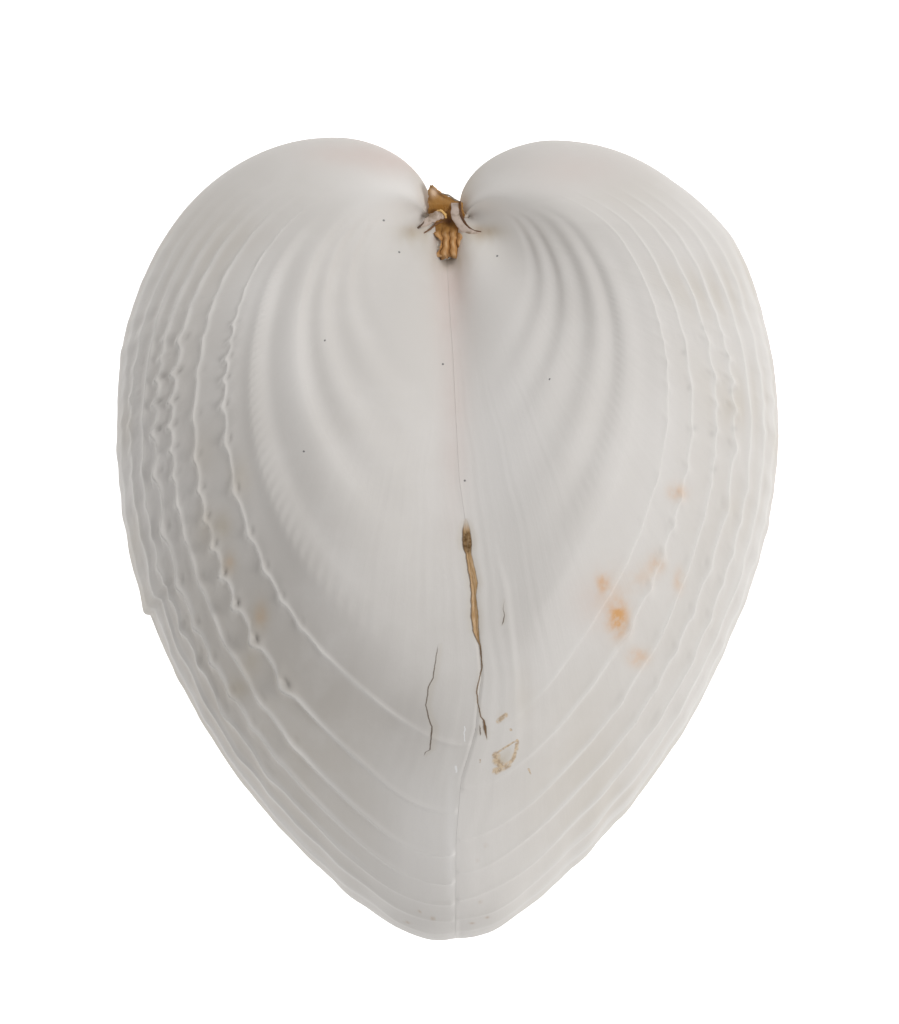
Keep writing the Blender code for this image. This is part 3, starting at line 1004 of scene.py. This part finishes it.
def fissure_marks(bench, colour, across, height, facing):
    """The three hairline fissures over the colour, each with a faint tan glow."""
    tan = (*bpy.context.scene.cockle_colours.tan, 1)
    for course, widths, side in (
        (FISSURE_COURSE, FISSURE_WIDTHS, 0.16),
        (CHECK_COURSE, CHECK_WIDTHS, 0.0),
        (BRANCH_COURSE, BRANCH_WIDTHS, 0.0),
    ):
        gap = course_gap(bench, across, height, course)
        beside = bench.maths("SUBTRACT", gap, side * MM)
        glow = course_mask(bench, beside, height, widths, 0.22, 5.0)
        line = course_mask(bench, gap, height, widths, 0.03)
        colour = bench.mix(bench.product(glow, 0.22), colour, tan)
        colour = bench.mix(bench.product(line, 0.85, facing), colour, DARK_BROWN)
    return colour


def marked_colour(bench, colour, where, split, facing):
    """The brown marks over the colour: the filled crack, the fissures, the scar, glints and specks."""
    jitter = bench.noise(where, 2300.0, 3.0, 0.6)
    shake = bench.product(bench.maths("SUBTRACT", jitter, 0.5), 0.12 * MM)
    across = bench.maths("ADD", split.outputs["X"], shake)
    height = split.outputs["Y"]
    crumbs = bench.noise(where, 3600.0, 2.0)
    colour, fill = crack_marks(bench, colour, across, height, facing, crumbs)
    colour = fissure_marks(bench, colour, across, height, facing)
    flat = bench.node("ShaderNodeCombineXYZ", {}, X=bench.maths("ADD", across, shake), Y=height).outputs[0]
    gaps = bench.ramp(bench.noise(where, 5200.0, 2.0), 0.30, 0.52, 0.30, 0.80)
    scar = bench.product(line_mask(bench, flat, SCAR_LINES, 1.5), facing, gaps)
    colour = bench.mix(scar, colour, bench.mix(bench.ramp(crumbs, 0.4, 0.6), *SCAR))
    glints = bench.product(line_mask(bench, flat, GLINTS, 1.6), facing, 0.8)
    colour = bench.mix(glints, colour, GLINT)
    specks = bench.product(flecks(bench, flat, SPECKS, SPECK_RADIUS), facing, 0.8)
    return bench.mix(specks, colour, SPECK), fill


def shell_material(name):
    """Chalky shell: the painted colour with mottling, fine growth lines, orange spots and brown marks."""
    bench = NodeBench(name)
    where = bench.node("ShaderNodeTexCoord").outputs["Object"]
    split = bench.node("ShaderNodeSeparateXYZ", {}, i0=where)
    facing = bench.ramp(split.outputs["Z"], 12.0 * MM, 14.0 * MM)
    turn_scaled = bench.product(bench.attribute("turn"), 60.0)
    wobble = bench.product(bench.noise(where, 700.0, 3.0), 2.2)
    stretched = bench.node("ShaderNodeCombineXYZ", {}, X=turn_scaled, Y=wobble).outputs[0]
    fine_lines = bench.product(bench.noise(stretched, 2.2, 5.0, 0.6), bench.attribute("lined"))
    mottle = bench.noise(where, 240.0, 4.0)
    grain = bench.noise(where, 4200.0, 2.0)
    colour = bench.attribute("paint", "Color")
    colour = bench.mix(bench.ramp(fine_lines, 0.40, 0.75, 0.0, 0.05), colour, LINE_COLOUR)
    colour = bench.mix(bench.ramp(mottle, 0.40, 0.75, 0.0, 0.38), colour, MOTTLE_COLOUR)
    uneven = bench.ramp(bench.noise(where, 1300.0, 3.0), 0.3, 0.62, 0.55, 1.25)
    spotted = bench.product(bench.attribute("orange"), uneven)
    colour = bench.mix(spotted, colour, (*bpy.context.scene.cockle_colours.orange, 1))
    colour, fill = marked_colour(bench, colour, where, split, facing)
    bench.feed(bench.shader, "Base Color", colour)
    bench.feed(bench.shader, "Roughness", bench.ramp(mottle, 0.3, 0.7, 0.42, 0.58))
    bench.shader.inputs["Specular IOR Level"].default_value = 0.35
    height = bench.maths("ADD", bench.product(fine_lines, 0.5), bench.product(grain, 0.25))
    bench.bump(0.25, 0.06 * MM, bench.maths("SUBTRACT", height, bench.product(fill, 0.8)))
    return bench.material


def horn_material(name):
    """Dried ligament: the painted brown and cream, with fibres that run along the cleft."""
    bench = NodeBench(name)
    where = bench.node("ShaderNodeTexCoord").outputs["Object"]
    drawn = bench.node("ShaderNodeMapping", {}, Vector=where, Scale=(2.6, 0.9, 1.4))
    fibres = bench.noise(drawn.outputs[0], 1300.0, 6.0, 0.65)
    lumps = bench.noise(where, 2100.0, 4.0)
    colour = bench.attribute("paint", "Color")
    colour = bench.mix(bench.ramp(fibres, 0.28, 0.50, 0.50, 0.0), colour, HORN_DARK)
    colour = bench.mix(bench.ramp(lumps, 0.55, 0.72, 0.0, 0.35), colour, HORN_LIGHT)
    bench.feed(bench.shader, "Base Color", colour)
    bench.feed(bench.shader, "Roughness", bench.ramp(fibres, 0.3, 0.7, 0.38, 0.75))
    bench.bump(0.6, 0.10 * MM, fibres)
    return bench.material


def nacre_material(name, dark, light):
    """Worn shell in two tones: the grey-lilac plates beside the ligament, or the pale shell under it."""
    bench = NodeBench(name)
    where = bench.node("ShaderNodeTexCoord").outputs["Object"]
    worn = bench.noise(where, 1500.0, 5.0, 0.6)
    bench.feed(bench.shader, "Base Color", bench.mix(bench.ramp(worn, 0.34, 0.56), dark, light))
    bench.feed(bench.shader, "Roughness", bench.ramp(worn, 0.3, 0.7, 0.45, 0.65))
    bench.bump(0.5, 0.08 * MM, worn)
    return bench.material


# The ligament's edges as (y, left x, right x), from its ragged foot up to the jagged flake at its top.
LIGAMENT_EDGES = (
    (17.50, -0.58, 1.00),
    (17.75, -0.62, 1.02),
    (18.05, -0.40, 0.84),
    (18.55, -0.34, 0.92),
    (18.80, -0.62, 1.18),
    (19.05, -0.95, 1.30),
    (19.30, -1.45, 1.20),
    (19.60, -1.28, 1.25),
    (20.10, -1.12, 1.12),
    (20.90, -1.12, 1.00),
    (21.15, -1.14, 0.55),
    (21.45, -1.14, -0.10),
    (21.75, -1.10, -0.50),
    (21.94, -1.00, -0.85),
)
# Height of its middle over the keel plane, as (y, z), and the depth of its folds.
LIGAMENT_CREST = (
    (17.5, 1.42), (18.1, 1.38), (18.7, 1.28), (19.1, 0.85), (19.7, 0.30), (20.1, 0.35), (20.8, 0.85),
    (21.9, 1.15),
)
LIGAMENT_THICKNESS = 0.55
HORN_GOLD = (0.50, 0.25, 0.065)
FOLD_DEPTH = 0.11
LIGAMENT_ROWS = 170
LIGAMENT_STEPS = 84


def lobed(value):
    """A wave with round lobes and sharp creases, 0 in the creases and 1 on the lobes."""
    return np.abs(np.sin(value)) ** 0.7


def ligament_surface():
    """A crumpled sheet across the cleft as a closed tube, and how high each point stands in its folds.

    The foot hangs in a fan of lobes with creases between them. The top is a flake with a torn edge.
    """
    edges = np.array(LIGAMENT_EDGES)
    y = np.linspace(edges[0, 0], edges[-1, 0], LIGAMENT_ROWS)[:, None]
    left, right = (np.interp(y, edges[:, 0], edges[:, column]) for column in (1, 2))
    left = left + 0.03 * np.sin(11 * y) + 0.015 * np.sin(29 * y)
    right = right + 0.03 * np.sin(9 * y + 2) + 0.015 * np.sin(25 * y)
    across = np.linspace(0, 1, LIGAMENT_STEPS)[None, :]
    crest_y, crest_z = zip(*LIGAMENT_CREST)
    crest = np.interp(y, crest_y, crest_z)
    foot = 1 - smooth_step(18.9, 19.8, y)
    spread = (left + (right - left) * across - 0.25) / (0.62 + 0.20 * np.maximum(0, 18.2 - y))
    fan = lobed(1.35 * np.pi * spread + 0.35 + 0.35 * np.sin(4.5 * y) * spread + 0.18 * np.sin(11 * y))
    tears = 0.6 + 0.25 * np.sin(3.1 * np.pi * across + 2.6 * y) + 0.15 * np.sin(9 * across + 7 * y)
    folds = foot * fan + (1 - foot) * tears
    rim = (2 * across - 1) ** 6
    wing = 0.42 * (2 * across - 1) ** 2 * bell(y - 19.0, 0.35)
    top = KEEL_Z + crest + wing + FOLD_DEPTH * (folds - 0.4) * (0.8 + foot) - 0.10 * rim
    ragged = (0.14 * np.sin(9 * across * np.pi) + 0.06 * np.sin(23 * across)) * smooth_step(18.0, 17.5, y)
    torn = (0.09 * np.sin(11 * across + 1) + 0.05 * np.sin(29 * across)) * smooth_step(20.8, 21.9, y)
    x = left + (right - left) * across
    upper = np.stack(np.broadcast_arrays(x, y + ragged + torn, top), axis=-1)
    thin = LIGAMENT_THICKNESS * (1 - rim) * smooth_step(17.4, 18.6, y) + 0.05
    under = upper.copy()
    under[..., 2] -= thin
    height = np.concatenate([folds, folds[:, ::-1]], axis=1)
    return np.concatenate([upper, under[:, ::-1]], axis=1), height


def ligament_paint(points, folds):
    """Golden brown, with painted highlights on the lobes of the foot and at the top left of the flake,
    painted shade in its creases, and dark in the deep middle.
    """
    x, y = points[..., 0], points[..., 1]
    foot = 1 - smooth_step(18.7, 19.5, y)
    # Painted highlight on the lobes of the foot.
    lobes = foot * smooth_step(0.80, 0.99, folds) * (0.6 + 0.4 * np.sin(9 * y))
    # Painted shade in the creases between the folds.
    creases = 1 - smooth_step(0.15, 0.55, folds)
    shade = np.ones(points.shape[:-1])[..., None] * np.array(HORN_GOLD)
    for tint, strength in (
        ((0.56, 0.28, 0.09), foot),
        ((0.86, 0.55, 0.28), 0.65 * lobes),
        ((0.24, 0.10, 0.02), 0.85 * creases),
        # Painted highlight at the top left of the flake.
        ((0.95, 0.70, 0.50), 0.9 * bell(x + 0.80, 0.22) * bell(y - 21.55, 0.28)),
        ((0.42, 0.19, 0.03), 0.7 * bell(x + 0.1, 0.8) * bell(y - 20.6, 0.45)),
        ((0.20, 0.09, 0.025), 0.55 * smooth_step(17.75, 17.50, y)),
        ((0.13, 0.045, 0.008), 0.95 * bell(x - 0.15, 0.36) * bell(y - 19.80, 0.30)),
    ):
        shade = blend_in(shade, tint, strength)
    return shade


# Slips of horn and shell round the ligament, each as (x, y, z, half width) along its path.
BEDDING = (
    (0.08, 17.10, 13.60, 0.40), (0.08, 17.50, 13.86, 1.00), (0.08, 18.20, 13.93, 1.25),
    (0.08, 18.80, 13.55, 1.25), (0.08, 19.30, 12.90, 1.60), (0.08, 20.00, 12.70, 2.10),
    (0.05, 20.50, 12.60, 1.90), (0.0, 20.90, 12.40, 0.60),
)
LEFT_PLATE = (
    (-1.74, 19.36, 14.14, 0.03), (-1.40, 19.54, 14.06, 0.13), (-1.15, 19.76, 13.98, 0.23),
    (-0.84, 19.97, 13.96, 0.31), (-0.53, 20.12, 13.95, 0.30), (-0.30, 20.08, 13.88, 0.22),
    (-0.14, 19.93, 13.78, 0.08),
)
RIGHT_PLATE = (
    (0.52, 20.95, 13.80, 0.20), (0.53, 20.50, 13.90, 0.29), (0.59, 20.07, 13.96, 0.27),
    (0.78, 19.67, 14.02, 0.27), (1.06, 19.30, 14.14, 0.26), (1.42, 19.06, 14.38, 0.20),
    (1.84, 18.99, 14.44, 0.13), (2.18, 19.04, 14.42, 0.04),
)
# Painted shade: the path of a dark strip along the right plate, where the right beak casts its shadow.
RIGHT_SHADOW_LINE = (
    (0.84, 21.06, 13.92, 0.05), (0.87, 20.50, 13.98, 0.06), (0.90, 20.14, 14.04, 0.08),
    (1.09, 19.73, 14.10, 0.08), (1.37, 19.34, 14.24, 0.07), (1.71, 19.13, 14.42, 0.06),
    (2.20, 19.08, 14.46, 0.03),
)
LEFT_LINE = (
    (-1.42, 18.98, 14.44, 0.03), (-1.03, 19.24, 14.24, 0.06), (-0.65, 19.57, 14.00, 0.07),
    (-0.22, 19.76, 13.76, 0.06),
)
TIP_LINE = (
    (-1.80, 19.30, 14.22, 0.04), (-1.66, 19.42, 14.20, 0.07), (-1.44, 19.62, 14.10, 0.05),
    (-1.28, 19.86, 14.02, 0.02),
)
RIDGE_LINE = (
    (-0.62, 20.42, 13.96, 0.03), (-0.32, 20.42, 14.02, 0.07), (-0.08, 20.18, 14.00, 0.08),
    (-0.02, 19.92, 13.86, 0.04),
)
CREST_LINE = (
    (-0.36, 21.50, 14.02, 0.03), (0.16, 21.36, 14.02, 0.06), (0.56, 21.08, 13.98, 0.06),
    (0.84, 20.98, 13.90, 0.03),
)
LEFT_TIP = (
    (-1.20, 20.65, 12.80, 0.10), (-1.26, 20.35, 12.94, 0.20), (-1.30, 20.10, 13.00, 0.22),
    (-1.34, 19.80, 13.08, 0.12),
)
RIGHT_TIP = (
    (1.10, 20.65, 12.80, 0.10), (1.14, 20.35, 12.92, 0.20), (1.20, 20.10, 12.98, 0.22),
    (1.28, 19.80, 13.06, 0.12),
)

# The slips of horn with their colours, and the worn shell with its tones: path, thickness, seed and slot.
HORN_SLIPS = {
    # Painted shade: a dark strip where the right beak's shadow falls beside the right plate.
    "right_beak_shadow_strip": (RIGHT_SHADOW_LINE, (0.13, 0.055, 0.02)),
    "left_dark_edge": (LEFT_LINE, (0.20, 0.09, 0.03)),
    "left_dark_tip": (TIP_LINE, (0.12, 0.07, 0.04)),
    "golden_ridge": (RIDGE_LINE, (0.90, 0.56, 0.20)),
    "grey_crest": (CREST_LINE, (0.34, 0.28, 0.22)),
}
SLIP_THICKNESS = 0.08
SLIP_SEED = 47
HINGE_PLATES = {
    "left_hinge_plate": (LEFT_PLATE, 0.16, 41, "left_shell"),
    "right_hinge_plate": (RIGHT_PLATE, 0.12, 43, "right_shell"),
}
BEDDING_SHELLS = {
    "ligament_bedding": (BEDDING, 0.25, 45, "horn"),
    "left_beak_tip": (LEFT_TIP, 0.12, 45, "left_shell"),
    "right_beak_tip": (RIGHT_TIP, 0.12, 45, "right_shell"),
}


def blade_surface(path, thickness, seed):
    """A ribbon with an oval section carried along a smooth path, uneven and thin at both ends."""
    path = np.array(path)
    along = np.linspace(0, 1, 80)
    at = np.linspace(0, 1, len(path))
    line = np.stack([np.interp(along, at, column) for column in path.T], axis=-1)
    kernel = np.ones(9) / 9
    padded = np.concatenate([np.repeat(line[:1], 4, 0), line, np.repeat(line[-1:], 4, 0)])
    line = np.stack([np.convolve(column, kernel, mode="valid") for column in padded.T], axis=-1)
    line, width = line[:, :3], line[:, 3]
    tangent = np.gradient(line, axis=0)
    tangent /= np.linalg.norm(tangent, axis=1, keepdims=True)
    up = np.array([0.0, 0.0, 1.0])
    side = np.cross(tangent, up)
    side /= np.linalg.norm(side, axis=1, keepdims=True)
    taper = np.sqrt(np.clip(np.sin(np.pi * np.clip(along, 0.02, 0.98)), 0, 1))
    uneven = 1 + 0.10 * waves(seed, 6, 8, 50, along)
    around = np.linspace(0, 2 * np.pi, 28, endpoint=False)
    across = (width * uneven)[:, None, None] * np.cos(around)[None, :, None] * side[:, None, :]
    rise = (thickness * taper)[:, None, None] * np.sin(around)[None, :, None] * up
    return line[:, None, :] + across + rise


class COCKLE_OT_left_valve(bpy.types.Operator):
    """Builds the left valve."""

    bl_idname = "cockle.left_valve"
    bl_label = "Left valve"

    def execute(self, context):
        build_valve("left_shell_half", LEFT, "left_valve")
        return {"FINISHED"}


class COCKLE_OT_right_valve(bpy.types.Operator):
    """Builds the right valve."""

    bl_idname = "cockle.right_valve"
    bl_label = "Right valve"

    def execute(self, context):
        build_valve("right_shell_half", RIGHT, "right_valve")
        return {"FINISHED"}


class COCKLE_OT_ligament(bpy.types.Operator):
    """Builds the dried ligament and the worn hinge plates beside it."""

    bl_idname = "cockle.ligament"
    bl_label = "Ligament"

    def execute(self, context):
        points, folds = ligament_surface()
        sheet = closed_skin("dried_ligament", points)
        shade = ligament_paint(points, folds).reshape(-1, 3)
        add_colours(sheet, "paint", np.concatenate([shade, shade[:1], shade[-1:]]))
        add_piece("dried_ligament", sheet, horn_material("dried_horn"), ["ligament"])
        for name, (path, colour) in HORN_SLIPS.items():
            slip = closed_skin(name, blade_surface(path, SLIP_THICKNESS, SLIP_SEED))
            add_colours(slip, "paint", colour)
            add_piece(name, slip, horn_material(name + "_horn"), [])
        for label, tones, slips in (
            ("worn_plate", PLATE_TONES, HINGE_PLATES),
            ("bedding_shell", BEDDING_TONES, BEDDING_SHELLS),
        ):
            worn = nacre_material(label, *tones)
            for name, (path, thickness, seed, slot) in slips.items():
                add_piece(name, closed_skin(name, blade_surface(path, thickness, seed)), worn, [])
        return {"FINISHED"}


# The photograph's frame: what it shows from side to side of its height, and where its middle is.
VIEW_HEIGHT = 63.8
VIEW_MIDDLE = (0.19, 1.68)
LENS = 250.0
SENSOR = 36.0

# The lamps: name, azimuth and elevation in degrees, and power in watts. All are discs at one distance.
LAMPS = (
    ("right_lamp", 0, 55, 0.33),
    ("top_low_lamp", 90, 8, 0.115),
)
LAMP_DISTANCE = 300
LAMP_SIZE = 110
LAMP_TARGET = (0, 0, 12)
FLOOR_HALF = 1.5


def add_camera():
    data = bpy.data.cameras.new("photo_camera")
    data.lens = LENS
    data.sensor_fit = "AUTO"
    data.sensor_width = SENSOR
    data.clip_start = 0.01
    data.clip_end = 10.0
    camera = bpy.data.objects.new("photo_camera", data)
    distance = VIEW_HEIGHT * MM * LENS / SENSOR
    camera.location = (VIEW_MIDDLE[0] * MM, VIEW_MIDDLE[1] * MM, KEEL_Z * MM + distance)
    bpy.context.scene.collection.objects.link(camera)
    bpy.context.scene.camera = camera


def add_lamp(name, azimuth, elevation, power):
    """A soft white disc that shines on the shell's middle from an azimuth and an elevation."""
    data = bpy.data.lights.new(name, "AREA")
    data.shape = "DISK"
    data.size = LAMP_SIZE * MM
    data.energy = power
    azimuth, elevation = np.radians((azimuth, elevation))
    level = np.cos(elevation)
    towards = np.array((level * np.cos(azimuth), level * np.sin(azimuth), np.sin(elevation)))
    light = bpy.data.objects.new(name, data)
    light.rotation_euler = Vector(-towards).to_track_quat("-Z", "Y").to_euler()
    light.location = (np.array(LAMP_TARGET) + LAMP_DISTANCE * towards) * MM
    bpy.context.scene.collection.objects.link(light)


def camera_only(tree, hidden, seen):
    """A strength that is one value in reflected light and another where the camera looks straight at it."""
    path = tree.nodes.new("ShaderNodeLightPath")
    choice = tree.nodes.new("ShaderNodeMix")
    choice.inputs["A"].default_value = hidden
    choice.inputs["B"].default_value = seen
    tree.links.new(path.outputs["Is Camera Ray"], choice.inputs["Factor"])
    return choice.outputs["Result"]


def add_floor(glow, backdrop):
    """A wide pale floor that lights the shell from below and looks white itself."""
    mesh = bpy.data.meshes.new("pale_floor")
    corners = [(x * FLOOR_HALF, y * FLOOR_HALF, 0) for x, y in ((-1, -1), (1, -1), (1, 1), (-1, 1))]
    mesh.from_pydata(corners, [], [(0, 1, 2, 3)])
    floor = bpy.data.objects.new("pale_floor", mesh)
    bpy.context.scene.collection.objects.link(floor)
    bench = NodeBench("pale_floor")
    bench.shader.inputs["Base Color"].default_value = (0.92, 0.92, 0.92, 1)
    bench.shader.inputs["Roughness"].default_value = 0.9
    bench.shader.inputs["Specular IOR Level"].default_value = 0.1
    bench.shader.inputs["Emission Color"].default_value = (1, 1, 1, 1)
    bench.feed(bench.shader, "Emission Strength", camera_only(bench.tree, glow, backdrop))
    mesh.materials.append(bench.material)


class COCKLE_OT_stage(bpy.types.Operator):
    """Adds the floor, the soft lights and the camera."""

    bl_idname = "cockle.stage"
    bl_label = "Stage"

    def execute(self, context):
        stage = context.scene.cockle_stage
        scene = context.scene
        scene.view_settings.view_transform = "Standard"
        world = bpy.data.worlds.new("white_room")
        scene.world = world
        world.use_nodes = True
        background = world.node_tree.nodes["Background"]
        background.inputs[0].default_value = (1, 1, 1, 1)
        strength = camera_only(world.node_tree, stage.sky, stage.backdrop)
        world.node_tree.links.new(strength, background.inputs[1])
        for name, azimuth, elevation, power in LAMPS:
            add_lamp(name, azimuth, elevation, power * stage.lamp_power)
        add_floor(stage.floor_glow, stage.backdrop)
        add_camera()
        return {"FINISHED"}


class COCKLE_PT_panel(bpy.types.Panel):
    """Lists the steps that build the shell."""

    bl_idname = "COCKLE_PT_panel"
    bl_label = "Heart Cockle"
    bl_space_type = "VIEW_3D"
    bl_region_type = "UI"
    bl_category = "Cockle"

    def draw(self, context):
        for group in (context.scene.cockle_shape, context.scene.cockle_colours, context.scene.cockle_stage):
            for name in group.__annotations__:
                self.layout.prop(group, name)
        for step in STEPS:
            self.layout.operator(step.bl_idname)


GROUPS = {"cockle_shape": CockleShape, "cockle_colours": CockleColours, "cockle_stage": CockleStage}
STEPS = (COCKLE_OT_left_valve, COCKLE_OT_right_valve, COCKLE_OT_ligament, COCKLE_OT_stage)


def register():
    for name, group in GROUPS.items():
        bpy.utils.register_class(group)
        setattr(bpy.types.Scene, name, bpy.props.PointerProperty(type=group))
    for step in STEPS:
        bpy.utils.register_class(step)
    bpy.utils.register_class(COCKLE_PT_panel)


def unregister():
    bpy.utils.unregister_class(COCKLE_PT_panel)
    for step in reversed(STEPS):
        bpy.utils.unregister_class(step)
    for name, group in GROUPS.items():
        delattr(bpy.types.Scene, name)
        bpy.utils.unregister_class(group)


def main():
    register()
    bpy.ops.cockle.left_valve()
    bpy.ops.cockle.right_valve()
    bpy.ops.cockle.ligament()
    bpy.ops.cockle.stage()
    bpy.context.view_layer.update()


if __name__ == "__main__":
    main()
